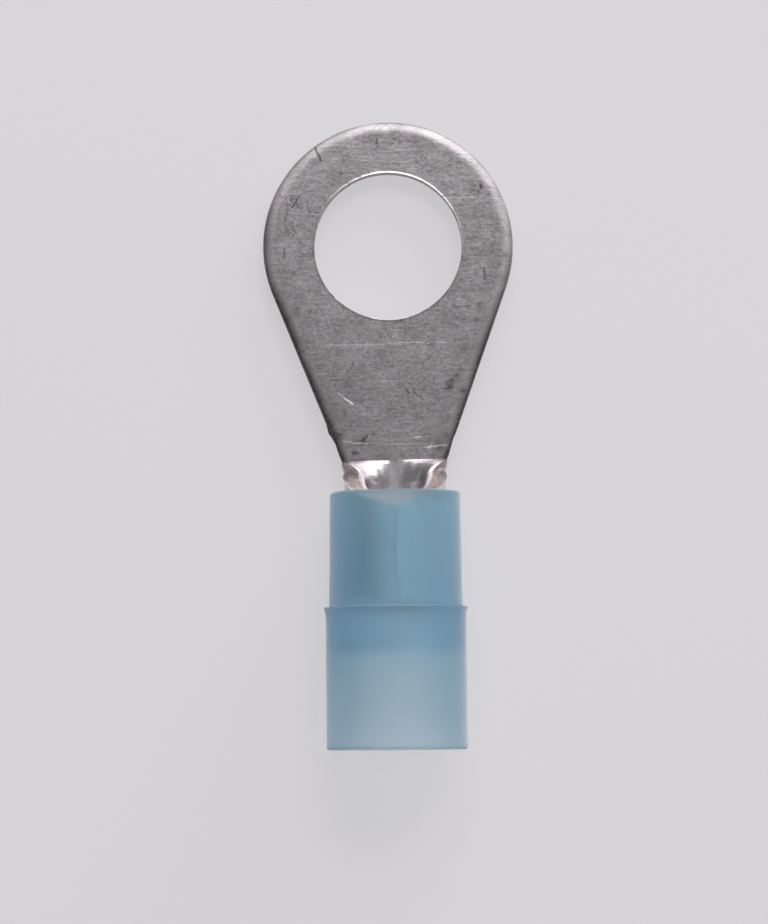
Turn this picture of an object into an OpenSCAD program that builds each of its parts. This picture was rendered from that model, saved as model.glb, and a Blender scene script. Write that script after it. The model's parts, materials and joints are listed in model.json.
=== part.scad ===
// Insulated ring terminal: a crimp terminal for stranded wire and an M6 stud.
//
// It has two pieces. The terminal is one stamping: a flat tongue with a ring, a
// throat that curls up behind a sharp crease, and a barrel rolled shut at a seam.
// The insulating sleeve is one moulding, pushed over the barrel from behind.
//
// Lengths are in millimetres and angles in degrees. The origin is the centre of
// the stud hole on the seating face. +Y points out of the ring's free end, the
// wire comes in from -Y, and +Z is the side where the barrel's seam lies.
// A "reach" is a distance from the stud hole's centre towards the wire.

/* [Ring] */
// Outside diameter of the ring
ring_d = 11; // [9:0.1:14]
// Diameter of the stud hole
stud_hole_d = 6.5; // [4.3:0.1:7.2]
// Thickness of the tongue, which is coined a little thinner than the sheet
tongue_t = 0.85; // [0.6:0.01:1]
// Radius that the press leaves along the tongue's upper outer edge
edge_round_r = 0.28; // [0.1:0.02:0.4]
// Bevel at the upper edge of the stud hole
hole_bevel_w = 0.08; // [0.02:0.02:0.2]

/* [Throat] */
// Reach of the crease where the tongue ends
crease_reach = 9.45; // [8.4:0.05:14]
// Width of the tongue at the crease
neck_w = 4.62; // [4:0.02:5.4]
// Flat width of the metal in the throat, before it is curled
throat_w = 4.3; // [3.8:0.02:5]
// Length from the crease to where the barrel closes
throat_len = 2.2; // [1.6:0.05:3.5]
// Share of the throat's length in which the metal takes the barrel's full curl
curl_share = 0.5; // [0.3:0.05:0.9]
// Share of the throat's length after which its wings widen
wing_share = 0.3; // [0.15:0.05:0.5]

/* [Barrel] */
// Inside diameter of the rolled barrel
barrel_bore_d = 2.6; // [2:0.1:3.4]
// Thickness of the sheet that the barrel is rolled from
sheet_t = 0.9; // [0.6:0.01:1.1]
// Length of the closed barrel
barrel_len = 4; // [3:0.1:8]
// Width of the butted seam along the barrel's top
seam_gap_w = 0.08; // [0.04:0.02:0.3]
// Number of grip grooves across the bore
grip_grooves = 3; // [1:1:4]
// Width of one grip groove
groove_w = 0.4; // [0.2:0.05:0.5]
// Depth of one grip groove
groove_h = 0.08; // [0.04:0.01:0.15]
// Bevel that opens the bore to the wire
bore_bevel_w = 0.2; // [0.05:0.05:0.4]

/* [Insulating sleeve] */
// Distance from where the throat is fully curled to the sleeve's front end
front_gap_len = 0.4; // [0.1:0.01:1.2]
// Clearance between the barrel and the sleeve, on the radius
sleeve_clearance_w = 0.03; // [0.01:0.01:0.1]
// Wall over the barrel, at the sleeve's front end
front_wall_t = 0.63; // [0.4:0.01:1]
// Draft of the front stretch, which grows towards the step
front_draft = 0.8; // [0:0.1:1.5]
// Distance from the barrel's open end to the step in the sleeve
step_lag_len = 0.3; // [0.1:0.05:2]
// Length of the thick stretch behind the step
band_len = 2.15; // [1:0.05:4]
// Inside diameter of the mouth that takes the wire's insulation
entry_d = 5.2; // [4.9:0.02:7]
// Length of the mouth
entry_len = 4.05; // [2:0.05:8]
// Wall of the mouth
entry_wall_t = 0.48; // [0.3:0.02:0.8]
// Height of the flash at the step, above the sleeve behind it
flash_h = 0.07; // [0.02:0.01:0.15]
// Length of the flash at the step
flash_len = 0.35; // [0.2:0.05:0.6]
// Radius of the sleeve's outer end edges
sleeve_round_r = 0.14; // [0.04:0.02:0.25]
// Bevel of the sleeve's inner end edges
sleeve_bevel_w = 0.12; // [0.04:0.02:0.25]

/* [Hidden] */

ring_r = ring_d / 2;
neck_half = neck_w / 2;

barrel_od = barrel_bore_d + 2 * sheet_t;
barrel_axis_z = barrel_od / 2;
mean_r = (barrel_bore_d + sheet_t) / 2;
barrel_reach = crease_reach + throat_len;
barrel_end_reach = barrel_reach + barrel_len;

sleeve_reach = crease_reach + curl_share * throat_len + front_gap_len;
step_reach = barrel_end_reach + step_lag_len;
band_end_reach = step_reach + band_len;
sleeve_end_reach = band_end_reach + entry_len;
sleeve_bore_r = barrel_od / 2 + sleeve_clearance_w;
front_r = sleeve_bore_r + front_wall_t;
front_growth = (step_reach - sleeve_reach) * tan(front_draft);
entry_r = entry_d / 2;
rear_r = entry_r + entry_wall_t;

// The throat is a loft of cross-sections between the tongue and the barrel.
throat_steps = 16;
floor_steps = 28;
round_steps = 3;
// Share of the throat in which the coined tongue regains the sheet's thickness
coin_share = 0.04;
// The throat's ends lie this far inside the faces that they join.
join_inset_w = 0.01;
// The press edge fades to this radius where the barrel closes.
seam_round_r = 0.02;
// How much farther than its neighbour each cross-section lies from the crease
step_growth = 1.5;
// How evenly the wings widen: at 1 their front edges are straight in the flat
wing_power = 1.1;
// Length of the shoulder between the thick stretch and the mouth
shoulder_len = 0.25;
// Overshoot of a cutting tool past the metal
past = 1;
$fn = 72;

// Places an object that runs towards the wire on the barrel's axis.
module on_barrel_axis(reach) {
    translate([0, -reach, barrel_axis_z])
        rotate([90, 0, 0])
            children();
}

// Ring and tongue with their pressed edge: ever smaller outlines, each a little higher.
// The hull gives the straight sides, which leave the ring at a tangent.
module tongue_blank() {
    hull()
        for (step = [0:round_steps]) {
            turn = 90 * step / round_steps;
            inset = edge_round_r * (1 - cos(turn));
            level = tongue_t - edge_round_r * (1 - sin(turn));
            cylinder(r = ring_r - inset, h = level);
            translate([inset - neck_half, -crease_reach, 0])
                cube([neck_w - 2 * inset, crease_reach, level]);
        }
}

module stud_hole() {
    translate([0, 0, -past])
        cylinder(d = stud_hole_d, h = tongue_t + 2 * past);
    translate([0, 0, tongue_t - hole_bevel_w])
        cylinder(d1 = stud_hole_d, d2 = stud_hole_d + 2 * (hole_bevel_w + past), h = hole_bevel_w + past);
}

// Along the throat, u runs from 0 at the crease to 1 where the barrel closes.

// Curvature of the sheet's middle surface
function curl(u) = (1 - pow(1 - min(1, u / curl_share), 2)) / mean_r;

// Thickness of the sheet
function thickness(u) = tongue_t + (sheet_t - tongue_t) * min(1, u / coin_share);

// Half of the sheet's flat width: it narrows behind the tongue, then its wings widen
// until their edges meet at the seam.
function half_width(u) =
    let (
        throat_half = throat_w / 2,
        seam_turn = asin((seam_gap_w / 2 + join_inset_w) / (barrel_bore_d / 2 + join_inset_w)),
        rolled_half = mean_r * PI * (1 - seam_turn / 180)
    )
    u < wing_share
        ? throat_half + (neck_half - 2 * join_inset_w - throat_half) * pow(1 - u / wing_share, 3)
        : throat_half + (rolled_half - throat_half) * pow((u - wing_share) / (1 - wing_share), wing_power);

// Radius of the pressed edge
function press_round(u) = edge_round_r + (seam_round_r - edge_round_r) * u;

// Places across the sheet, close together over the pressed edges
function rungs(u) =
    let (half = half_width(u), e = press_round(u), flat = half - e)
    concat(
        [for (i = [0:round_steps]) -half + e * (1 - cos(90 * i / round_steps))],
        [for (i = [1:floor_steps - 1]) flat * (2 * i / floor_steps - 1)],
        [for (i = [round_steps:-1:0]) half - e * (1 - cos(90 * i / round_steps))]
    );

// Height of the upper face at `s` across the sheet
function top_height(u, s) =
    let (e = press_round(u), into_round = max(0, abs(s) - half_width(u) + e))
    thickness(u) - join_inset_w - e + sqrt(max(0, e * e - into_round * into_round));

// The point at `s` across the sheet and `h` above its underside, once it is curled
function curled(u, s, h) =
    let (
        y = -(crease_reach + throat_len * u),
        bend = curl(u),
        outer = bend > 0 ? 1 / bend + thickness(u) / 2 : 0,
        turn = s * bend * 180 / PI
    )
    bend > 0
        ? [(outer - h) * sin(turn), y, outer - (outer - h) * cos(turn)]
        : [s, y, h];

function two_triangles(a, b, c, d) = [[a, b, c], [a, c, d]];

module throat() {
    stations = [for (i = [0:throat_steps]) pow(i / throat_steps, step_growth)];
    across = len(rungs(0));
    last = throat_steps;
    points = [
        for (u = stations) each concat(
            [for (s = rungs(u)) curled(u, s, join_inset_w)],
            [for (s = rungs(u)) curled(u, s, top_height(u, s))]
        )
    ];
    // Indices of a lower and an upper point: station i, rung j
    function low(i, j) = i * 2 * across + j;
    function high(i, j) = low(i, j) + across;
    skins = [
        for (i = [0:last - 1]) for (j = [0:across - 2]) each concat(
            two_triangles(low(i, j), low(i + 1, j), low(i + 1, j + 1), low(i, j + 1)),
            two_triangles(high(i, j), high(i, j + 1), high(i + 1, j + 1), high(i + 1, j))
        )
    ];
    edges = [
        for (i = [0:last - 1]) each concat(
            two_triangles(low(i, 0), high(i, 0), high(i + 1, 0), low(i + 1, 0)),
            two_triangles(
                low(i, across - 1), low(i + 1, across - 1),
                high(i + 1, across - 1), high(i, across - 1)
            )
        )
    ];
    ends = [
        for (j = [0:across - 2]) each concat(
            two_triangles(low(0, j), low(0, j + 1), high(0, j + 1), high(0, j)),
            two_triangles(low(last, j), high(last, j), high(last, j + 1), low(last, j + 1))
        )
    ];
    polyhedron(points, concat(skins, edges, ends));
}

module barrel() {
    bore_r = barrel_bore_d / 2;
    groove_pitch = barrel_len / (grip_grooves + 1);
    difference() {
        on_barrel_axis(barrel_reach)
            cylinder(d = barrel_od, h = barrel_len);
        on_barrel_axis(barrel_reach - past)
            cylinder(r = bore_r, h = barrel_len + 2 * past);
        on_barrel_axis(barrel_end_reach - bore_bevel_w)
            cylinder(r1 = bore_r, r2 = bore_r + bore_bevel_w + past, h = bore_bevel_w + past);
        for (i = [1:grip_grooves])
            on_barrel_axis(barrel_reach + groove_pitch * i - groove_w / 2)
                cylinder(r = bore_r + groove_h, h = groove_w);
        translate([-seam_gap_w / 2, -barrel_end_reach - past, barrel_axis_z])
            cube([seam_gap_w, barrel_len + 2 * past, barrel_od]);
    }
}

module terminal() {
    color("silver") {
        difference() {
            tongue_blank();
            stud_hole();
        }
        throat();
        barrel();
    }
}

// Points of a quarter round about [r, reach], from angle `start` on by 90 degrees
function quarter_round(r, reach, start) = [
    for (i = [0:6]) [r, reach] + sleeve_round_r * [cos(start + 15 * i), sin(start + 15 * i)]
];

module insulating_sleeve() {
    shoulder_reach = band_end_reach - shoulder_len;
    color([0.42, 0.62, 0.74, 0.85])
        on_barrel_axis(0)
            rotate_extrude()
                polygon(concat(
                    [[sleeve_bore_r + sleeve_bevel_w, sleeve_reach]],
                    quarter_round(front_r - sleeve_round_r, sleeve_reach + sleeve_round_r, -90),
                    [
                        [front_r + front_growth, step_reach],
                        [rear_r + flash_h, step_reach],
                        [rear_r, step_reach + flash_len]
                    ],
                    quarter_round(rear_r - sleeve_round_r, sleeve_end_reach - sleeve_round_r, 0),
                    [
                        [entry_r + sleeve_bevel_w, sleeve_end_reach],
                        [entry_r, sleeve_end_reach - sleeve_bevel_w],
                        [entry_r, band_end_reach],
                        [sleeve_bore_r, shoulder_reach],
                        [sleeve_bore_r, sleeve_reach + sleeve_bevel_w]
                    ]
                ));
}

terminal();
insulating_sleeve();
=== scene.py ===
import json
import math

import bpy
import numpy as np
from mathutils import Matrix, Vector


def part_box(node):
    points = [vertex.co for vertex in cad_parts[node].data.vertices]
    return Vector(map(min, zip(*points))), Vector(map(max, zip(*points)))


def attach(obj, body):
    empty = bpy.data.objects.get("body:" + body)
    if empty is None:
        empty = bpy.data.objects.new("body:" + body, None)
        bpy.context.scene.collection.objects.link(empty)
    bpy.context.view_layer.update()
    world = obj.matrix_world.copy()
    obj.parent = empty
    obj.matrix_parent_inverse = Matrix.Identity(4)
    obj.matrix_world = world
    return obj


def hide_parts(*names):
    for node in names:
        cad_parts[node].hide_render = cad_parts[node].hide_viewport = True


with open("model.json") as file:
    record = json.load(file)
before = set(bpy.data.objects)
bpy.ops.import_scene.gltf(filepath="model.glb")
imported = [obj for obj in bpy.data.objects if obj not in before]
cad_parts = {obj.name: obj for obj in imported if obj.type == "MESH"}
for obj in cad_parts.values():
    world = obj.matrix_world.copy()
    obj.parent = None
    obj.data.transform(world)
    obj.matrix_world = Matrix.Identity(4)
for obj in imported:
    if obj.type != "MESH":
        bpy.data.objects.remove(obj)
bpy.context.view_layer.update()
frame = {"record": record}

MM = 0.001
mounts = {mount["name"]: mount for mount in frame["record"]["mounts"]}
terminal_low, terminal_high = (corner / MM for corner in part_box("terminal"))
sleeve_low, sleeve_high = (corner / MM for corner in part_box("insulating_sleeve"))

# Sizes of the metal, in millimetres. A reach is a distance from the stud hole towards the wire.
RING_R = terminal_high.x
HOLE_R = mounts["stud_hole"]["dims"]["r_mm"]
TONGUE_T = mounts["tongue_top"]["pos_m"][2] / MM
BORE_R = mounts["wire_barrel"]["dims"]["r_mm"]
AXIS_Z = mounts["wire_barrel"]["pos_m"][2] / MM
SHEET_T = AXIS_Z - BORE_R
MEAN_R = BORE_R + SHEET_T / 2
NECK_HALF = 2.31
CREASE_REACH = 9.45
THROAT_LEN = 2.2
THROAT_HALF = 2.15
CURL_SHARE = 0.5
CURL_POWER = 2
NARROW_SHARE = 0.3
WING_SHARE = 0.24
WING_POWER = 1.25
BARREL_REACH = CREASE_REACH + THROAT_LEN
BARREL_END_REACH = -terminal_low.y
EDGE_ROUND_R = 0.28
SEAM_ROUND_R = 0.02
SEAM_GAP_W = 0.02
CROWN_W = 0.42
CROWN_H = 0.085
CROWN_ROUND_R = 0.12
HOLE_LIP_W = 0.08
HOLE_LIP_H = 0.014
BORE_BEVEL_W = 0.2
GROOVE_H = 0.08
GROOVE_W = 0.4
GROOVES = 3

# The whole barrel, with its sleeve, is bent sideways by this many degrees between the crease and this reach
BEND_ANGLE = 1.2
BEND_END_REACH = 10.85

# Sizes of the sleeve, in millimetres
SLEEVE_REACH = -sleeve_high.y
SLEEVE_END_REACH = -sleeve_low.y
SLEEVE_BORE_R = AXIS_Z + 0.03
FRONT_R = SLEEVE_BORE_R + 0.63
STEP_REACH = BARREL_END_REACH + 0.3
BAND_END_REACH = STEP_REACH + 2.15
STEP_R = FRONT_R + (STEP_REACH - SLEEVE_REACH) * math.tan(math.radians(0.8))
ENTRY_R = mounts["insulation_entry"]["dims"]["r_mm"]
REAR_R = ENTRY_R + 0.48
FLASH_LEN = 0.35
SHOULDER_LEN = 0.8
FLASH_ROUND_R = 0.05
SLEEVE_ROUND_R = 0.14
SLEEVE_BEVEL_W = 0.12


def smooth_noise(points, cell, seed):
    """Smooth random values in -1..1 at points, with one independent value per cell of that size."""
    table = np.random.default_rng(seed).uniform(-1, 1, 4096)
    scaled = np.asarray(points, float) / cell
    base = np.floor(scaled).astype(np.int64)
    part = scaled - base
    part = part * part * (3 - 2 * part)
    total = np.zeros(len(scaled))
    for corner in np.ndindex(*(2,) * scaled.shape[1]):
        lattice = base + corner
        key = np.zeros(len(scaled), np.int64)
        for axis, prime in zip(range(scaled.shape[1]), (73856093, 19349663, 83492791)):
            key ^= lattice[:, axis] * prime
        weight = np.prod(np.where(corner, part, 1 - part), axis=1)
        total += weight * table[key % 4096]
    return total


def smooth_step(low, high, value):
    """0 below low and 1 above high, with a soft change between."""
    t = np.clip((value - low) / (high - low), 0, 1)
    return t * t * (3 - 2 * t)


def bent_sideways(points):
    """The points of the whole object once its throat is bent a little, towards -X at the wire's end."""
    reach = np.linspace(CREASE_REACH, SLEEVE_END_REACH + 1, 2000)
    turn = math.radians(BEND_ANGLE) * smooth_step(CREASE_REACH, BEND_END_REACH, reach)
    along = np.diff(reach, prepend=reach[0])
    middle_x, middle_y = -np.cumsum(np.sin(turn) * along), -reach[0] - np.cumsum(np.cos(turn) * along)
    x, y, z = np.asarray(points, float).T
    beyond = -y > CREASE_REACH
    here = np.interp(-y, reach, turn)
    bent_x = np.interp(-y, reach, middle_x) + x * np.cos(here)
    bent_y = np.interp(-y, reach, middle_y) - x * np.sin(here)
    return np.stack([np.where(beyond, bent_x, x), np.where(beyond, bent_y, y), z], axis=-1)


def make_object(name, points, faces, smooth_angle):
    """A mesh object from points in millimetres, with edges sharper than smooth_angle kept sharp."""
    mesh = bpy.data.meshes.new(name)
    mesh.from_pydata((bent_sideways(points) * MM).tolist(), [], faces)
    mesh.validate()
    made = bpy.data.objects.new(name, mesh)
    bpy.context.scene.collection.objects.link(made)
    mesh.shade_smooth()
    mesh.set_sharp_from_angle(angle=math.radians(smooth_angle))
    return made


# ---------------------------------------------------------------- the metal terminal

# Wear of the tongue's upper face, in millimetres: x0, y0, x1, y1, half the width, strength
EDGE_NICKS = [(-1, 8.06, 0.2, 0.085), (-1, 8.72, 0.22, -0.06), (1, 8.6, 0.25, -0.05), (1, 9.25, 0.16, 0.022)]
SCRATCHES = [
    (-2.39, -6.42, -2.09, -6.65, 0.026, 0.35),
    (-2.09, -6.65, -1.75, -6.92, 0.035, 1.00),
    (-2.64, -4.30, -0.35, -4.34, 0.020, 0.30),
    (-0.13, -4.28, 2.56, -4.32, 0.020, 0.32),
    (-2.20, -4.39, -1.28, -4.42, 0.018, 0.20),
    (-2.23, -8.56, -1.18, -8.71, 0.026, 0.40),
    (-0.70, -8.72, 0.88, -8.75, 0.022, 0.25),
    (1.31, -8.92, 2.28, -8.85, 0.026, 0.50),
    (1.49, -8.92, 1.62, -8.92, 0.035, 0.60),
    (0.89, -8.47, 1.20, -8.45, 0.031, 0.40),
    (-3.42, -5.62, -2.89, -5.54, 0.022, 0.25),
    (-0.40, -5.97, 0.22, -5.95, 0.022, 0.20),
]
MARKS = [
    (-3.08, 4.47, -3.00, 4.26, 0.053, 0.80),
    (-3.00, 4.26, -2.86, 3.88, 0.057, 0.80),
    (-3.85, 2.32, -4.17, 1.84, 0.039, 0.75),
    (-3.97, 2.03, -3.91, 1.85, 0.039, 0.60),
    (-0.33, 4.76, -0.36, 4.54, 0.053, 0.65),
    (-4.40, 1.65, -4.50, 1.25, 0.039, 0.50),
    (-4.56, 0.01, -4.58, -0.39, 0.044, 0.60),
    (1.95, 3.25, 2.13, 3.38, 0.039, 0.60),
    (4.16, 2.60, 4.17, 2.45, 0.053, 0.80),
    (4.21, -1.10, 4.20, -1.58, 0.057, 0.50),
    (3.60, -0.50, 4.79, -0.49, 0.031, 0.35),
    (2.49, -6.36, 2.25, -6.37, 0.053, 0.50),
    (-1.42, -8.59, -1.13, -8.29, 0.057, 0.65),
    (-1.83, -9.08, -1.63, -9.09, 0.066, 0.75),
    (0.61, -6.29, 0.72, -6.49, 0.048, 0.70),
    (0.93, -6.45, 1.33, -6.84, 0.031, 0.60),
    (-2.72, -5.82, -2.02, -5.82, 0.031, 0.45),
    (-1.95, -5.57, -1.69, -5.09, 0.039, 0.40),
    (2.02, -4.65, 1.32, -5.27, 0.035, 0.40),
    (2.74, -2.75, 3.53, -2.76, 0.044, 0.40),
]
# The same for darker spots: x, y, radius, strength
SPOTS = [
    (-1.96, 3.26, 0.08, 0.70),
    (0.65, 4.60, 0.08, 0.60),
    (-4.45, 0.81, 0.07, 0.30),
    (-4.18, -1.08, 0.08, 0.50),
    (4.06, 2.30, 0.08, 0.60),
    (3.80, 2.39, 0.08, 0.45),
    (4.87, -0.96, 0.10, 0.50),
    (5.14, -0.53, 0.10, 0.50),
    (2.84, -5.78, 0.11, 0.60),
    (2.63, -6.02, 0.13, 0.65),
    (2.54, -6.29, 0.13, 0.80),
    (3.10, -6.47, 0.11, 0.55),
    (-1.35, -8.52, 0.11, 0.50),
    (-0.88, -8.25, 0.11, 0.60),
    (0.33, -9.22, 0.08, 0.40),
    (-2.01, -6.02, 0.08, 0.50),
    (-2.11, -7.26, 0.09, 0.45),
    (-1.36, -6.82, 0.10, 0.55),
    (3.93, -2.72, 0.11, 0.50),
    (3.79, -3.36, 0.12, 0.50),
    (-3.53, -2.83, 0.09, 0.50),
    (-4.08, -2.65, 0.09, 0.50),
    (-1.29, -3.35, 0.10, 0.30),
    (-1.09, -7.14, 0.08, 0.35),
    (2.02, -8.93, 0.18, 0.35),
    (2.30, -8.46, 0.18, 0.35),
    (-2.36, -8.31, 0.15, 0.40),
    (-3.90, -2.27, 0.22, 0.20),
    (-4.49, -3.13, 0.22, 0.20),
    (3.04, -5.57, 0.13, 0.40),
    (1.94, -8.67, 0.13, 0.30),
]

SIDE_ANGLE = (
    math.pi / 2
    - math.atan(NECK_HALF / CREASE_REACH)
    - math.acos(RING_R / math.hypot(NECK_HALF, CREASE_REACH))
)
EDGE_INSETS = np.array([0, 0.006, 0.022, 0.048, 0.08, 0.12, 0.17, 0.23, 0.3, 0.4])
CREASE_SOFT_X = 0.15
FLOOR_STEPS = 84
OUTLINE_STEP = 0.085
WALL_ROWS = 7
TORN_H = 0.03
TORN_ROOT = 8
# Width of the painted highlight along the barrel's seam
SEAM_HIGHLIGHT_W = 0.28
TONGUE_ROWS = 52
UNDER_ROWS = 10
THROAT_ROWS = 44
BARREL_ROW_STEP = 0.2


def curl(u):
    """Curvature of the sheet's middle at u, which runs from 0 at the crease to 1 at the barrel."""
    return (1 - (1 - np.minimum(1, u / CURL_SHARE)) ** CURL_POWER) / MEAN_R


def thickness(u, s):
    """Metal thickness in the throat. The step at the crease is sharp at the sides and soft in the middle."""
    middle = 1 - smooth_step(0.25, 0.75, np.abs(s - CREASE_SOFT_X))
    step = smooth_step(0, 0.06, u) * (1 - middle) + smooth_step(0, 0.8, u) * middle
    return TONGUE_T + (SHEET_T - TONGUE_T) * step


def half_width(u):
    """Half of the sheet's flat width along the throat."""
    seam_turn = math.asin(SEAM_GAP_W / 2 / BORE_R)
    rolled_half = MEAN_R * (math.pi - seam_turn)
    narrow = THROAT_HALF + (NECK_HALF - THROAT_HALF) * (1 - np.minimum(1, u / NARROW_SHARE)) ** 3
    spread = np.clip((u - WING_SHARE) / (1 - WING_SHARE), 0, 1) ** WING_POWER
    return narrow + (rolled_half - THROAT_HALF) * spread


def press_round(u):
    return EDGE_ROUND_R + (SEAM_ROUND_R - EDGE_ROUND_R) * np.clip(u, 0, 1)


def rungs(u):
    """Places across the sheet at u, close together over its pressed edges."""
    half = half_width(u)
    edge = EDGE_INSETS * press_round(u) / EDGE_ROUND_R
    flat = (half - edge[-1]) * np.linspace(-1, 1, FLOOR_STEPS + 1)[1:-1]
    return np.concatenate([-half + edge, flat, (half - edge)[::-1]])


def edge_drop(distance, e):
    """How far the upper face has fallen at a distance from an edge of radius e."""
    into_round = np.clip(e - distance, 0, e)
    return e - np.sqrt(np.maximum(0, e * e - into_round * into_round))


def press_drop(distance, e, crown):
    """The same for the pressed edge, which where crown is 1 falls in a wide slope before a small round."""
    slope = CROWN_H * np.clip(1 - distance / CROWN_W, 0, 1) ** 2
    return (1 - crown) * edge_drop(distance, e) + crown * (slope + edge_drop(distance, CROWN_ROUND_R))


def curled(s, y, h):
    """The point at s across the flat sheet and h above its underside, once the sheet is curled."""
    u = np.clip((-y - CREASE_REACH) / THROAT_LEN, 0, 1)
    bend = np.maximum(curl(u), 1e-6)
    outer = 1 / bend + thickness(u, s) / 2
    turn = s * bend
    x = np.where(u > 0, (outer - h) * np.sin(turn), s)
    z = np.where(u > 0, outer - (outer - h) * np.cos(turn), h)
    return np.stack([x, y, z], axis=-1)


def relief(x, y):
    """Height of the dents and ripples of the upper face above the true plane."""
    at = np.stack([x, y], axis=-1)
    waves = 0.006 * smooth_noise(at, 1.7, 11) + 0.003 * smooth_noise(at, 0.6, 12)
    grain = 0.0012 * smooth_noise(at * (0.35, 2.2), 0.16, 13)
    return waves + grain


def outline_radius(theta, inset):
    """Distance from the hole's centre to the tongue's outline, or to a line inset from it."""
    across, along = np.cos(theta), np.sin(theta)
    side = np.abs(across) * math.cos(SIDE_ANGLE) - along * math.sin(SIDE_ANGLE)
    below_tangent = along < -math.sin(SIDE_ANGLE) - 1e-9
    sides = np.where(below_tangent, (RING_R - inset) / np.maximum(side, 1e-3), RING_R - inset)
    sides = sides + edge_nicks(sides * across, -sides * along)
    crease = np.where(along < -0.1, (CREASE_REACH - inset) / np.maximum(-along, 0.1), 1e3)
    return np.minimum(sides, crease)


def edge_nicks(x, reach):
    """How far the sheared sides of the tongue stand out past their true line, by burrs and nicks."""
    total = 0.0
    for side, at, length, out in EDGE_NICKS:
        total += out * np.exp(-((reach - at) / length) ** 2) * (x * side > 0)
    return total


def edge_distance(x, y):
    """Distance of a point of the tongue from its pressed outline."""
    side = np.abs(x) * math.cos(SIDE_ANGLE) - y * math.sin(SIDE_ANGLE)
    radius = np.hypot(x, y)
    below_tangent = y < -radius * math.sin(SIDE_ANGLE)
    return RING_R - np.where(below_tangent, side, radius)


def tongue_wear_and_shade(points):
    """Dirt with painted shade, closeness to the rim and share of the full wear, all 0 to 1, for points of the terminal.
    The painted shade darkens the edges towards the bottom and on the left, and the face towards the bottom.
    """
    x, y, z = np.asarray(points).T
    inset = np.maximum(edge_distance(x, y), 0)
    on_tongue = smooth_step(CREASE_REACH + 0.15, CREASE_REACH - 0.02, -y)
    low = smooth_step(1.5, -6.5, y)
    patches = 0.5 + 0.5 * smooth_noise(np.stack([x, y], axis=-1), 0.8, 51)
    # Painted shade: the outline's edges are darker towards the bottom and along the left side, away from the light
    edge = (0.2 + 0.6 * low) * np.exp(-inset / 0.16) * smooth_step(3.6, 0.5, y)
    edge += 0.45 * smooth_step(-1, -4.5, x) * np.exp(-inset / 0.25) * smooth_step(3.5, 1, y)
    edge += (0.1 + 0.5 * patches ** 2) * np.exp(-inset / 0.3) * smooth_step(2, 4.5, y)
    # Painted shade with patchy dirt: a wide darker band inside the lower edges, and the whole face darker towards the
    # bottom
    wide = low * np.exp(-inset / 0.55) * (0.15 + 0.5 * patches)
    shade_and_dirt_towards_bottom = 0.05 * smooth_step(4, -7, y) + 0.06 * patches * smooth_step(4, 0, y)
    dirt = edge + wide + shade_and_dirt_towards_bottom
    for spot_x, spot_y, radius, strength in SPOTS:
        dirt += strength * np.exp(-((x - spot_x) ** 2 + (y - spot_y) ** 2) / radius ** 2)
    dirt = np.clip(dirt, 0, 0.92) * on_tongue
    rim = np.clip(1 - inset / 0.55, 0, 1) * on_tongue
    return {"dirt": dirt, "rim": rim, "worn": 0.25 + 0.75 * on_tongue}


def outline_angles():
    """Angles of the tongue's columns: right side, ring, left side, then along the crease."""
    corner = math.atan2(-CREASE_REACH, NECK_HALF)
    side_len = math.sqrt(NECK_HALF ** 2 + CREASE_REACH ** 2 - RING_R ** 2)
    foot = np.array([math.cos(SIDE_ANGLE), -math.sin(SIDE_ANGLE)]) * RING_R
    towards_neck = np.array([-math.sin(SIDE_ANGLE), -math.cos(SIDE_ANGLE)])
    far = np.linspace(side_len, 0, int(side_len / OUTLINE_STEP))[:, None]
    side = foot + far * towards_neck
    right = np.arctan2(side[:, 1], side[:, 0])
    right[0] = corner
    ring_len = RING_R * (math.pi + 2 * SIDE_ANGLE)
    ring = np.linspace(-SIDE_ANGLE, math.pi + SIDE_ANGLE, int(ring_len / OUTLINE_STEP))
    left = math.pi - right[::-1]
    crease = np.arctan2(-CREASE_REACH, rungs(0.0)[1:-1]) + 2 * math.pi
    return np.concatenate([right[:-1], ring, left[1:], crease]), len(right) + len(ring) + len(left) - 2


class MeshBuilder:
    """Collects points and the grids of faces between rows of them."""

    def __init__(self):
        self.points = []
        self.faces = []
        self.shear = []
        self.matte = []

    def row(self, points, shear=0.0, matte=0.0):
        """Adds a row of points and returns their indices."""
        start = len(self.points)
        self.points.extend(np.asarray(points).tolist())
        self.shear.extend(np.broadcast_to(shear, len(points)).tolist())
        self.matte.extend(np.broadcast_to(matte, len(points)).tolist())
        return list(range(start, start + len(points)))

    def strip(self, first, second, closed=False):
        """Fills between two rows of equal length. Facing is to the left of the way from first to second."""
        count = len(first)
        for j in range(count if closed else count - 1):
            k = (j + 1) % count
            corners = [first[j], first[k], second[k], second[j]]
            if len(set(corners)) == 4:
                self.faces.append(corners)


def tongue_rows(theta):
    """Rows of plan positions from the hole's bevel out to the tongue's outline."""
    start = HOLE_R + HOLE_LIP_W * 1.3
    rim = outline_radius(theta, EDGE_INSETS[-1])
    radii = [np.full(len(theta), HOLE_R + HOLE_LIP_W * share) for share in (0.15, 0.4, 0.7, 1)]
    radii += [start + (rim - start) * k / TONGUE_ROWS for k in range(TONGUE_ROWS)]
    radii += [outline_radius(theta, inset) for inset in EDGE_INSETS[::-1]]
    return radii


def top_points(theta, radius):
    x, y = radius * np.cos(theta), radius * np.sin(theta)
    drop = press_drop(edge_distance(x, y), EDGE_ROUND_R, 1)
    lip = HOLE_LIP_H * np.clip(1 - (radius - HOLE_R) / HOLE_LIP_W, 0, 1)
    return np.stack([x, y, TONGUE_T - drop + lip + relief(x, y)], axis=-1)


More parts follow.
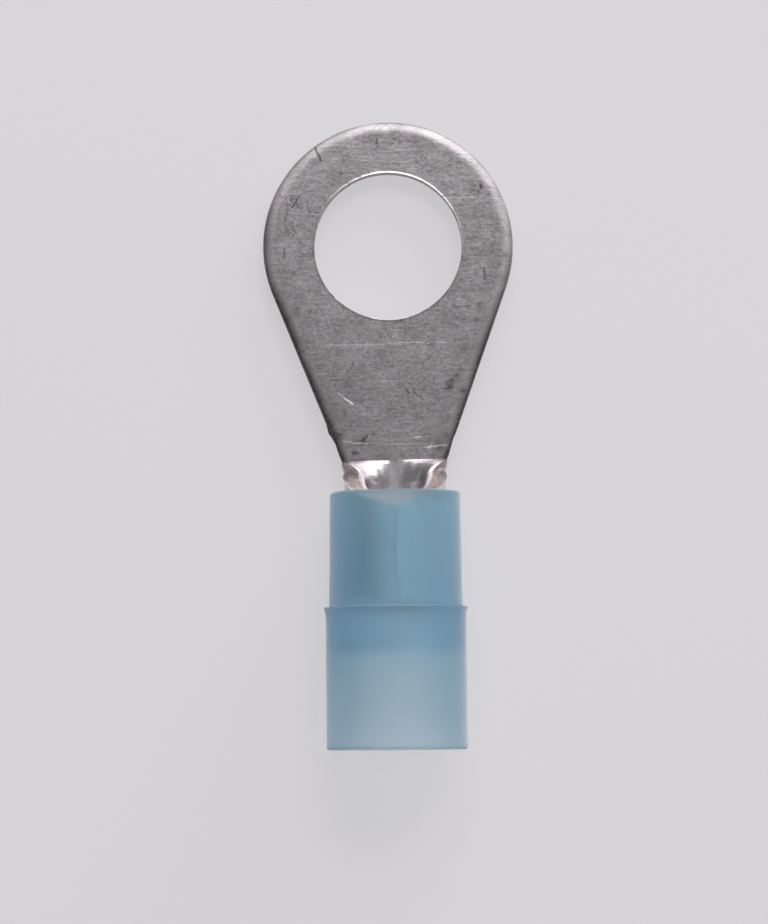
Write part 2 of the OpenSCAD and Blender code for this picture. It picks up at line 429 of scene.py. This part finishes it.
def throat_rows():
    """Reaches of the rows of the throat and of the barrel behind it."""
    throat = CREASE_REACH + THROAT_LEN * np.linspace(0, 1, THROAT_ROWS + 1)[1:] ** 1.3
    stops = [BARREL_REACH, BARREL_END_REACH - BORE_BEVEL_W, BARREL_END_REACH]
    pitch = (BARREL_END_REACH - BARREL_REACH) / (GROOVES + 1)
    for i in range(1, GROOVES + 1):
        middle = BARREL_REACH + pitch * i
        stops += [middle - GROOVE_W / 2 - 0.01, middle - GROOVE_W / 2 + 0.01]
        stops += [middle + GROOVE_W / 2 - 0.01, middle + GROOVE_W / 2 + 0.01]
    stops = sorted(stops)
    barrel = []
    for a, b in zip(stops, stops[1:]):
        pieces = max(1, round((b - a) / BARREL_ROW_STEP))
        barrel += [a + (b - a) * k / pieces for k in range(1, pieces + 1)]
    return np.concatenate([throat, barrel])


def bore_height(reach):
    """Thickness of the metal at the bore, less its grip grooves and the bevel at its mouth."""
    pitch = (BARREL_END_REACH - BARREL_REACH) / (GROOVES + 1)
    for i in range(1, GROOVES + 1):
        if abs(reach - BARREL_REACH - pitch * i) < GROOVE_W / 2:
            return SHEET_T - GROOVE_H
    return SHEET_T - max(0, reach - (BARREL_END_REACH - BORE_BEVEL_W))


def terminal_mesh():
    build = MeshBuilder()
    theta, outer_count = outline_angles()
    columns = len(theta)

    # Upper face, from the hole to the outline
    rows = [build.row(top_points(theta, radius)) for radius in tongue_rows(theta)]
    for inner, outer in zip(rows, rows[1:]):
        build.strip(inner, outer, closed=True)

    # Hole wall and its bevel
    def hole_ring(radius, z, shear):
        return build.row(np.stack([radius * np.cos(theta), radius * np.sin(theta), np.full(columns, z)], axis=-1), shear)

    hole_rows = [hole_ring(HOLE_R, z, 1.0) for z in np.linspace(0, TONGUE_T, 5)]
    for lower, upper in zip(hole_rows, hole_rows[1:]):
        build.strip(lower, upper, closed=True)
    build.strip(hole_rows[-1], rows[0], closed=True)

    # Underside
    rim = outline_radius(theta, 0.0)
    under = [hole_rows[0]]
    for k in range(1, UNDER_ROWS + 1):
        radius = HOLE_R + (rim - HOLE_R) * k / UNDER_ROWS
        under.append(build.row(np.stack([radius * np.cos(theta), radius * np.sin(theta), np.zeros(columns)], axis=-1)))
    for inner, outer in zip(under, under[1:]):
        build.strip(outer, inner, closed=True)

    # Wall round the outline, up to the pressed edge
    outline = [j % columns for j in range(outer_count)]
    wall = wall_between(build, [under[-1][j] for j in outline], [rows[-1][j] for j in outline])

    # Throat and barrel
    crease_columns = [outer_count - 1, *range(outer_count, columns), 0]
    top_before = [rows[-1][j] for j in crease_columns]
    low_before = [under[-1][j] for j in crease_columns]
    left_before = [row[-1] for row in wall]
    right_before = [row[0] for row in wall]
    for reach in throat_rows():
        u = (reach - CREASE_REACH) / THROAT_LEN
        s = rungs(min(1, u))
        y = np.full(len(s), -reach)
        half, e = half_width(min(1, u)), press_round(u)
        metal = bore_height(reach) if u >= 1 else thickness(u, s)
        ripple = 0.3 * relief(s, y) * (1 - smooth_step(0.8, 1, u))
        crown = 1 - smooth_step(0, 0.25, u)
        matte = float(smooth_step(0.5, 0.75, u))
        # Painted highlight: the barrel's outer face is lighter in a stripe along its seam on top. Painted shade: its
        # inner face takes only 0.6 of the lighter matte colour
        seam_highlight = np.exp(-((half - np.abs(s)) / SEAM_HIGHLIGHT_W) ** 2)
        top = build.row(curled(s, y, metal - press_drop(half - np.abs(s), e, crown) + ripple), 0.0, 0.6 * matte)
        low = build.row(curled(s, y, np.zeros(len(s))), 0.0, matte * (0.9 + 0.1 * seam_highlight))
        build.strip(top_before, top)
        build.strip(low, low_before)
        left = side_column(build, low[0], top[0], top[TORN_ROOT], u)
        right = side_column(build, low[-1], top[-1], top[-1 - TORN_ROOT], u)
        build.strip(left_before, left)
        build.strip(right, right_before)
        top_before, low_before, left_before, right_before = top, low, left, right

    # Face of the barrel's open end
    middle_points = [0.5 * (np.array(build.points[a]) + np.array(build.points[b])) for a, b in zip(low_before, top_before)]
    middle = [left_before[WALL_ROWS // 2], *build.row(middle_points[1:-1], 1.0), right_before[WALL_ROWS // 2]]
    build.strip(top_before, middle)
    build.strip(middle, low_before)
    return build


def side_column(build, low, high, inner, u):
    """Points up a torn edge of the throat, from a lower to an upper point. The inner point gives its way in."""
    a, b = np.array(build.points[low]), np.array(build.points[high])
    inward = np.array(build.points[inner]) - b
    inward /= np.linalg.norm(inward)
    points = np.array([a + (b - a) * share for share in np.linspace(0, 1, WALL_ROWS)[1:-1]])
    torn = TORN_H * (1 + smooth_noise(points, 0.16, 31)) * (1 - smooth_step(0.8, 1, u))
    return [low, *build.row(points + torn[:, None] * inward, 1.0), high]


def wall_between(build, low, high):
    """Rows up the wall between two outlines. The rows are returned from the bottom."""
    a = np.array([build.points[i] for i in low])
    b = np.array([build.points[i] for i in high])
    rows = [low]
    for share in np.linspace(0, 1, WALL_ROWS)[1:-1]:
        rows.append(build.row(a + (b - a) * share, 1.0))
    rows.append(high)
    for lower, upper in zip(rows, rows[1:]):
        build.strip(lower, upper)
    return rows


# ---------------------------------------------------------------- the nylon sleeve

SLEEVE_SEGMENTS = 180
SLEEVE_ROW_STEP = 0.2


def arc(centre_r, centre_reach, start, round_r=SLEEVE_ROUND_R, count=7):
    """Points of a quarter round on an outer edge of the sleeve, as (radius, reach)."""
    turns = np.radians(start + np.linspace(0, 90, count))
    return [(centre_r + round_r * math.cos(t), centre_reach + round_r * math.sin(t)) for t in turns]


def sleeve_profile():
    corners = [(SLEEVE_BORE_R + SLEEVE_BEVEL_W, SLEEVE_REACH)]
    corners += arc(FRONT_R - SLEEVE_ROUND_R, SLEEVE_REACH + SLEEVE_ROUND_R, -90)
    corners += [(STEP_R, STEP_REACH)]
    corners += arc(sleeve_high.x - FLASH_ROUND_R, STEP_REACH + FLASH_ROUND_R, -90, FLASH_ROUND_R)
    corners += [(REAR_R, STEP_REACH + FLASH_LEN)]
    corners += arc(REAR_R - SLEEVE_ROUND_R, SLEEVE_END_REACH - SLEEVE_ROUND_R, 0)
    corners += [
        (ENTRY_R + SLEEVE_BEVEL_W, SLEEVE_END_REACH),
        (ENTRY_R, SLEEVE_END_REACH - SLEEVE_BEVEL_W),
        (ENTRY_R, BAND_END_REACH),
        (SLEEVE_BORE_R, BAND_END_REACH - SHOULDER_LEN),
        (SLEEVE_BORE_R, SLEEVE_REACH + SLEEVE_BEVEL_W),
    ]
    profile = []
    for (r0, reach0), (r1, reach1) in zip(corners, corners[1:] + corners[:1]):
        pieces = max(1, round(math.hypot(r1 - r0, reach1 - reach0) / SLEEVE_ROW_STEP))
        for k in range(pieces):
            profile.append((r0 + (r1 - r0) * k / pieces, reach0 + (reach1 - reach0) * k / pieces))
    return profile


def sleeve_mesh():
    build = MeshBuilder()
    turns = np.linspace(0, 2 * math.pi, SLEEVE_SEGMENTS, endpoint=False)
    rows = []
    for radius, reach in sleeve_profile():
        ring = np.stack([np.cos(turns), np.sin(turns), np.full(len(turns), reach / 2)], axis=-1)
        r = radius - 0.006 * (1 + smooth_noise(ring, 0.7, 41))
        points = np.stack([r * np.cos(turns), np.full(len(turns), -reach), AXIS_Z + r * np.sin(turns)], axis=-1)
        rows.append(build.row(points))
    for a, b in zip(rows, rows[1:] + rows[:1]):
        build.strip(a, b, closed=True)
    return build


# ---------------------------------------------------------------- materials


def add_node(tree, kind, sockets=None, **settings):
    """Adds a node. A socket's value is a number, a colour or another node's output."""
    node = tree.nodes.new(kind)
    for name, value in settings.items():
        setattr(node, name, value)
    for name, value in (sockets or {}).items():
        if isinstance(value, bpy.types.NodeSocket):
            tree.links.new(value, node.inputs[name])
        else:
            node.inputs[name].default_value = value
    return node


def new_material(name):
    material = bpy.data.materials.new(name)
    material.use_nodes = True
    tree = material.node_tree
    tree.nodes.clear()
    return material, tree


def position_mm(tree, scale=(1, 1, 1)):
    """The surface point in millimetres, stretched by scale."""
    place = add_node(tree, "ShaderNodeTexCoord").outputs["Object"]
    scaled = add_node(tree, "ShaderNodeVectorMath", {0: place, 1: [s / MM for s in scale]}, operation="MULTIPLY")
    return scaled.outputs["Vector"]


def noise(tree, scale, stretch=(1, 1, 1), detail=4.0, roughness=0.55, distortion=0.0):
    sockets = {
        "Vector": position_mm(tree, stretch), "Scale": scale, "Detail": detail,
        "Roughness": roughness, "Distortion": distortion,
    }
    return add_node(tree, "ShaderNodeTexNoise", sockets).outputs["Fac"]


def remap(tree, value, low, high, to_low=0.0, to_high=1.0):
    sockets = {"Value": value, "From Min": low, "From Max": high, "To Min": to_low, "To Max": to_high}
    return add_node(tree, "ShaderNodeMapRange", sockets, clamp=True).outputs["Result"]


def calc(tree, operation, a, b=0.0):
    return add_node(tree, "ShaderNodeMath", {0: a, 1: b}, operation=operation).outputs[0]


def mix_colour(tree, share, a, b):
    node = add_node(tree, "ShaderNodeMix", {"Factor": share}, data_type="RGBA")
    for socket, value in ((node.inputs[6], a), (node.inputs[7], b)):
        if isinstance(value, bpy.types.NodeSocket):
            tree.links.new(value, socket)
        else:
            socket.default_value = (*value, 1)
    return node.outputs[2]


def bump(tree, height, distance_mm, normal=None):
    sockets = {"Height": height, "Distance": distance_mm * MM, "Strength": 1.0}
    if normal is not None:
        sockets["Normal"] = normal
    return add_node(tree, "ShaderNodeBump", sockets).outputs["Normal"]


def vector_calc(tree, operation, a, b=(0, 0, 0), output="Vector"):
    return add_node(tree, "ShaderNodeVectorMath", {0: a, 1: b}, operation=operation).outputs[output]


def strokes(tree, place, segments):
    """1 on any of the strokes and 0 off them. A stroke is x0, y0, x1, y1, half its width, strength."""
    total = None
    for x0, y0, x1, y1, half, strength in segments:
        start, way = Vector((x0, y0, 0)), Vector((x1 - x0, y1 - y0, 0))
        from_start = vector_calc(tree, "SUBTRACT", place, tuple(start))
        share = vector_calc(tree, "DOT_PRODUCT", from_start, tuple(way / way.length_squared), "Value")
        share = remap(tree, share, 0.0, 1.0)
        nearest = add_node(tree, "ShaderNodeVectorMath", {0: tuple(way), "Scale": share}, operation="SCALE")
        away = vector_calc(tree, "DISTANCE", from_start, nearest.outputs["Vector"], "Value")
        stroke = remap(tree, away, half * 0.4, half * 1.4, strength, 0.0)
        total = stroke if total is None else calc(tree, "MAXIMUM", total, stroke)
    return total


def varied(tree, value, amount):
    """1 on average, and up to amount more or less where the noise is far from its middle."""
    return remap(tree, value, 0.25, 0.75, 1 - amount, 1 + amount)


THROAT_BRIGHT = 1.1
NYLON_FRONT = (0.85, 0.935, 0.96)
NYLON_MOUTH = (0.915, 0.955, 0.975)
NYLON_END_PAINTED_LIGHT = (0.985, 0.985, 0.99)
NYLON_CLOUD = (0.95, 0.95, 0.965)


def metal_material():
    material, tree = new_material("tinned_copper")
    streaks = noise(tree, 11.0, stretch=(0.13, 1, 1), detail=4, roughness=0.6)
    broken = remap(tree, noise(tree, 2.2, stretch=(0.6, 1, 1), detail=3), 0.42, 0.6)
    speckle = noise(tree, 9.0, stretch=(0.75, 1, 1), detail=4, roughness=0.75)
    mottle = noise(tree, 1.2, detail=6, roughness=0.6)
    hue = noise(tree, 1.7, detail=5, roughness=0.6, distortion=0.4)
    veins = noise(tree, 1.9, detail=3, roughness=0.6, distortion=0.8)
    veins = remap(tree, calc(tree, "ABSOLUTE", calc(tree, "SUBTRACT", veins, 0.5)), 0.006, 0.02, 1, 0)
    stained = remap(tree, noise(tree, 0.9, detail=3), 0.47, 0.62)
    veins = calc(tree, "MULTIPLY", veins, stained)
    pits = remap(tree, noise(tree, 5.0, detail=3, roughness=0.6), 0.66, 0.72)
    shear = add_node(tree, "ShaderNodeAttribute", attribute_name="shear").outputs["Fac"]
    matte = add_node(tree, "ShaderNodeAttribute", attribute_name="matte").outputs["Fac"]
    dirt = add_node(tree, "ShaderNodeAttribute", attribute_name="dirt").outputs["Fac"]
    rim = add_node(tree, "ShaderNodeAttribute", attribute_name="rim").outputs["Fac"]

    wander = add_node(tree, "ShaderNodeTexNoise", {"Vector": position_mm(tree), "Scale": 4.0, "Detail": 3.0})
    wander = vector_calc(tree, "MULTIPLY", vector_calc(tree, "SUBTRACT", wander.outputs["Color"], (0.5, 0.5, 0.5)), (0.16, 0.16, 0))
    place = vector_calc(tree, "ADD", vector_calc(tree, "MULTIPLY", position_mm(tree), (1, 1, 0)), wander)
    scratches = strokes(tree, place, SCRATCHES)
    marks = strokes(tree, place, MARKS)

    colour = mix_colour(tree, remap(tree, hue, 0.35, 0.65), (0.565, 0.548, 0.545), (0.60, 0.548, 0.58))
    bright = varied(tree, mottle, 0.2)
    bright = calc(tree, "MULTIPLY", bright, varied(tree, speckle, 0.28))
    lines = remap(tree, streaks, 0.25, 0.75, -0.3, 0.3)
    bright = calc(tree, "ADD", bright, calc(tree, "MULTIPLY", lines, broken))
    worn = add_node(tree, "ShaderNodeAttribute", attribute_name="worn").outputs["Fac"]
    bright = add_node(tree, "ShaderNodeMix", {"Factor": worn, 2: THROAT_BRIGHT, 3: bright}).outputs[0]
    colour = add_node(tree, "ShaderNodeVectorMath", {0: colour, "Scale": bright}, operation="SCALE").outputs["Vector"]
    colour = mix_colour(tree, calc(tree, "MULTIPLY", veins, 0.6), colour, (0.2, 0.18, 0.18))
    colour = mix_colour(tree, calc(tree, "MULTIPLY", pits, 0.5), colour, (0.2, 0.18, 0.18))
    colour = mix_colour(tree, marks, colour, (0.11, 0.10, 0.10))
    # Dirt and painted shade from the attribute darken the colour
    dirt = calc(tree, "MULTIPLY", dirt, varied(tree, speckle, 0.5))
    colour = mix_colour(tree, dirt, colour, (0.11, 0.108, 0.10))
    colour = mix_colour(tree, scratches, colour, (0.95, 0.92, 0.93))
    rough_cut = remap(tree, noise(tree, 7.0, detail=3), 0.35, 0.65)
    colour = mix_colour(tree, shear, colour, mix_colour(tree, rough_cut, (0.26, 0.22, 0.21), (0.52, 0.44, 0.42)))
    # Lighter matte tin of the throat and barrel, with painted shade inside the barrel and a painted highlight along its
    # seam
    colour = mix_colour(tree, matte, colour, (0.86, 0.89, 0.91))

    roughness = remap(tree, speckle, 0.3, 0.7, 0.27, 0.37)
    roughness = calc(tree, "ADD", roughness, calc(tree, "MULTIPLY", matte, 0.28))
    roughness = calc(tree, "ADD", roughness, calc(tree, "MULTIPLY", rim, 0.26))
    roughness = calc(tree, "ADD", roughness, calc(tree, "MULTIPLY", shear, 0.15))
    roughness = calc(tree, "ADD", roughness, calc(tree, "MULTIPLY", scratches, 0.35))
    metallic = remap(tree, matte, 0.0, 1.0, 1.0, 0.35)
    normal = bump(tree, streaks, 0.004)
    shader = add_node(
        tree, "ShaderNodeBsdfPrincipled",
        {"Base Color": colour, "Roughness": roughness, "Metallic": metallic, "Normal": normal},
    )
    add_node(tree, "ShaderNodeOutputMaterial", {"Surface": shader.outputs[0]})
    return material


def nylon_material():
    material, tree = new_material("blue_nylon")
    cloud = noise(tree, 0.55, detail=3)
    place = add_node(tree, "ShaderNodeSeparateXYZ", {"Vector": position_mm(tree)}).outputs["Y"]
    colour = mix_colour(tree, remap(tree, place, -BAND_END_REACH + 0.15, -BAND_END_REACH - 0.15), NYLON_FRONT, NYLON_MOUTH)
    # Painted light: the sleeve grows whiter towards its rear end, as if lit through its open mouth
    colour = mix_colour(tree, remap(tree, place, -BAND_END_REACH, -SLEEVE_END_REACH), colour, NYLON_END_PAINTED_LIGHT)
    colour = mix_colour(tree, remap(tree, cloud, 0.42, 0.6, 0.0, 0.4), colour, NYLON_CLOUD)
    normal = bump(tree, noise(tree, 1.6, detail=2), 0.012)
    shader = add_node(
        tree, "ShaderNodeBsdfPrincipled",
        {
            "Base Color": colour, "Roughness": 0.6, "Normal": normal, "IOR": 1.45,
            "Transmission Weight": 0.96, "Sheen Weight": 1.0, "Sheen Roughness": 0.4,
        },
    )
    volume = add_node(tree, "ShaderNodeVolumeAbsorption", {"Color": (0.24, 0.70, 0.88, 1), "Density": 600.0})
    add_node(
        tree, "ShaderNodeOutputMaterial",
        {"Surface": shader.outputs[0], "Volume": volume.outputs[0]},
    )
    return material


# ---------------------------------------------------------------- stage

FLOOR_COLOUR = (0.755, 0.735, 0.758)
FLOOR_SIZE = 1.5
# Share of the floor's colour that a camera sees whatever falls on the floor
FLOOR_GLOW = 0.7
LIT_POINT = Vector((0, -8, 0)) * MM
WORLD_LOW = (0.14, 0.14, 0.145)
WORLD_HIGH = (0.26, 0.26, 0.265)


def build_floor():
    """The ground that the object rests on: it touches the ring's tip and the sleeve's flash."""
    tip = Vector((0, terminal_high.y, terminal_low.z)) * MM
    flash = Vector((0, -STEP_REACH, sleeve_low.z)) * MM
    along = (tip - flash).normalized()
    up = Vector((1, 0, 0)).cross(along)
    mesh = bpy.data.meshes.new("floor")
    half = FLOOR_SIZE / 2
    corners = [tip + Vector((sx * half, 0, 0)) + along * (sy * half) for sx, sy in ((-1, -1), (1, -1), (1, 1), (-1, 1))]
    mesh.from_pydata([tuple(c) for c in corners], [], [(0, 1, 2, 3)])
    floor = bpy.data.objects.new("floor", mesh)
    bpy.context.scene.collection.objects.link(floor)
    material, tree = new_material("studio_floor")
    shade = remap(tree, noise(tree, 0.02, detail=2), 0.3, 0.7)
    colour = mix_colour(tree, shade, FLOOR_COLOUR, tuple(c * 1.01 for c in FLOOR_COLOUR))
    diffuse = add_node(tree, "ShaderNodeBsdfDiffuse", {"Color": colour})
    glow = add_node(tree, "ShaderNodeEmission", {"Color": colour})
    rays = add_node(tree, "ShaderNodeLightPath").outputs
    seen = calc(tree, "MAXIMUM", rays["Is Camera Ray"], rays["Is Transmission Ray"])
    seen = calc(tree, "MAXIMUM", seen, rays["Is Glossy Ray"])
    share = calc(tree, "MULTIPLY", seen, FLOOR_GLOW)
    surface = add_node(
        tree, "ShaderNodeMixShader", {0: share, 1: diffuse.outputs[0], 2: glow.outputs[0]}
    )
    add_node(tree, "ShaderNodeOutputMaterial", {"Surface": surface.outputs[0]})
    mesh.materials.append(material)


def soft_box(name, from_zenith, towards_x, distance, size, radiance):
    """An area light at angles in degrees: down from the zenith, and turned from +Y towards +X."""
    tilt, turn = math.radians(from_zenith), math.radians(towards_x)
    away = Vector((math.sin(tilt) * math.sin(turn), math.sin(tilt) * math.cos(turn), math.cos(tilt)))
    data = bpy.data.lights.new(name, "AREA")
    data.shape = "RECTANGLE"
    data.size, data.size_y = size
    data.energy = radiance * math.pi * size[0] * size[1]
    lamp = bpy.data.objects.new(name, data)
    lamp.location = LIT_POINT + away * distance
    lamp.rotation_euler = away.to_track_quat("Z", "Y").to_euler()
    bpy.context.scene.collection.objects.link(lamp)


def build_light():
    """A soft box high beyond the ring and a soft wall low behind it, in a dimmer room."""
    world = bpy.data.worlds.new("studio")
    bpy.context.scene.world = world
    world.use_nodes = True
    tree = world.node_tree
    tree.nodes.clear()
    direction = add_node(tree, "ShaderNodeTexCoord").outputs["Generated"]
    height = add_node(tree, "ShaderNodeSeparateXYZ", {"Vector": direction}).outputs["Z"]
    shade = mix_colour(tree, remap(tree, height, 0.0, 0.9), WORLD_LOW, WORLD_HIGH)
    background = add_node(tree, "ShaderNodeBackground", {"Color": shade, "Strength": 1.0})
    add_node(tree, "ShaderNodeOutputWorld", {"Surface": background.outputs[0]})
    soft_box("key_light", 36, 12, 0.32, (0.20, 0.10), 6.0)
    soft_box("wall_light", 72, 24, 0.42, (0.50, 0.20), 4.0)


def build_camera():
    """A long lens above the object, leaning towards the wire's end."""
    lean, roll, distance = math.radians(3.8), math.radians(1.73), 220 * MM
    target = Vector((-0.461, -9.461, 0)) * MM
    back = Vector((0, -math.sin(lean), math.cos(lean)))
    north = Vector((0, math.cos(lean), math.sin(lean)))
    east = Vector((1, 0, 0))
    right = math.cos(roll) * east - math.sin(roll) * north
    up = math.sin(roll) * east + math.cos(roll) * north
    data = bpy.data.cameras.new("camera")
    data.sensor_width = 36
    data.lens = 194.45
    data.clip_start, data.clip_end = 0.01, 10
    camera = bpy.data.objects.new("camera", data)
    turn = Matrix((right, up, back)).transposed()
    camera.matrix_world = Matrix.LocRotScale(target + back * distance, turn.to_quaternion(), None)
    bpy.context.scene.collection.objects.link(camera)
    bpy.context.scene.camera = camera


def build_object():
    built = terminal_mesh()
    metal = make_object("ring_terminal", built.points, built.faces, 50)
    painted = {"shear": built.shear, "matte": built.matte, **tongue_wear_and_shade(built.points)}
    for name, values in painted.items():
        metal.data.attributes.new(name, "FLOAT", "POINT").data.foreach_set("value", values)
    metal.data.materials.append(metal_material())
    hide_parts("terminal")
    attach(metal, "root")

    built = sleeve_mesh()
    sleeve = make_object("nylon_sleeve", built.points, built.faces, 40)
    sleeve.data.materials.append(nylon_material())
    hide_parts("insulating_sleeve")
    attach(sleeve, "root")


build_object()
build_floor()
build_light()
build_camera()
bpy.context.scene.view_settings.view_transform = "Standard"
